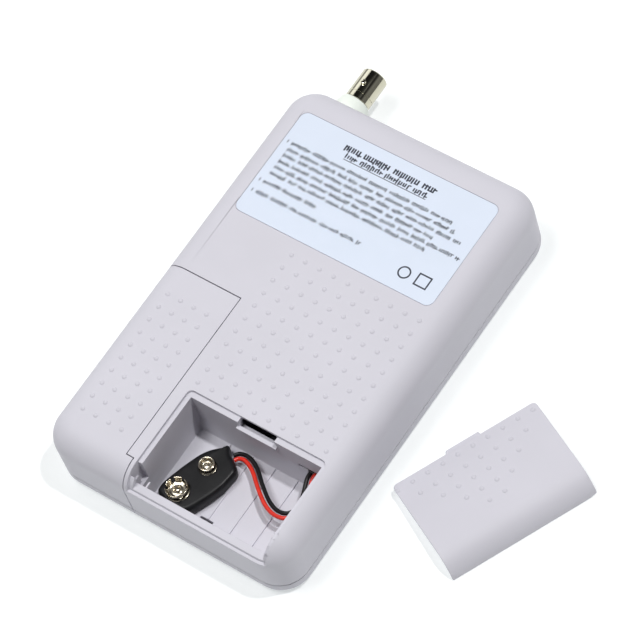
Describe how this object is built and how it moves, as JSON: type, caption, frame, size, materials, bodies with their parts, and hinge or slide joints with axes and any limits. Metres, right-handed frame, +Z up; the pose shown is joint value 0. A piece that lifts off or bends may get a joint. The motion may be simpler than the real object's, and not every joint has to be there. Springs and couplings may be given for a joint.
{
  "type": "network cable tester",
  "caption": "Hand-held network cable tester lying face down, with a docked remote module, coaxial jack, open battery bay with snap lead, and its battery door off beside it.",
  "frame": {"origin": "middle of the tester's outline on its flat front face, which lies on the table", "axes": "+Z up out of the back, +Y towards the coaxial jack, +X to the right seen from the back"},
  "size_m": [0.1653, 0.1765, 0.028],
  "materials": {
    "case_plastic": "fine matt moulded, pale lavender grey",
    "label_paper": "satin pale blue sticker",
    "overlay_film": "matt printed film",
    "circuit_board": "solder resist",
    "button_plastic": "matt moulded",
    "black_plastic": "moulded",
    "white_plastic": "smooth moulded",
    "green_lens": "clear tinted",
    "red_lens": "clear tinted",
    "nickel": "bright nickel plate",
    "gold_contact": "bright",
    "tinned_steel": "tin plate",
    "snap_metal": "bright nickel plate",
    "screw_steel": "zinc plate",
    "black_vinyl": "soft, slightly glossy",
    "red_pvc": "smooth insulation"
  },
  "bodies": {
    "tester": {"rear_shell": "case_plastic", "front_shell": "case_plastic", "back_label": "label_paper", "front_overlay": "overlay_film", "main_board": "circuit_board", "switch_housing": "black_plastic", "led_connected": "green_lens", "led_short": "red_lens", "led_crossed": "red_lens", "led_open": "red_lens", "led_low_battery": "red_lens", "bnc_base": "white_plastic", "bnc_shell": "nickel", "bnc_insulator": "white_plastic", "bnc_contact": "gold_contact", "main_rj45_housing": "black_plastic", "main_rj45_contacts": "gold_contact", "main_usb_a_shell": "tinned_steel", "main_usb_a_tongue": "white_plastic", "counter_chip": "black_plastic", "timer_chip": "black_plastic", "supply_capacitor": "black_plastic", "case_screw_1": "screw_steel", "case_screw_2": "screw_steel", "board_screw_1": "screw_steel", "board_screw_2": "screw_steel", "snap_sleeve": "black_vinyl", "snap_contact_plate": "black_plastic", "snap_stud": "snap_metal", "snap_crown": "snap_metal", "lead_red": "red_pvc", "lead_black": "black_vinyl", "lead_red_inner": "red_pvc", "lead_black_inner": "black_vinyl"},
    "remote_module": {"remote_rear_shell": "case_plastic", "remote_front_shell": "case_plastic", "remote_board": "circuit_board", "remote_rj45_housing": "black_plastic", "remote_rj45_contacts": "gold_contact", "remote_usb_b_shell": "tinned_steel", "remote_usb_b_tongue": "white_plastic", "remote_screw": "screw_steel"},
    "door": {"battery_door": "case_plastic"},
    "button": {"test_button": "button_plastic", "switch_plunger": "black_plastic"}
  },
  "joints": [
    {"name": "remote_slide", "type": "slide", "parent": "tester", "child": "remote_module", "axis": [0, -1, 0], "range_m": [0, 0.075]},
    {"name": "door_lift", "type": "slide", "parent": "tester", "child": "door", "axis": [0, 0, 1], "range_m": [0, 0.05]},
    {"name": "button_press", "type": "slide", "parent": "tester", "child": "button", "axis": [0, 0, 1], "range_m": [0, 0.0008], "stiffness_N_per_m": 400}
  ]
}
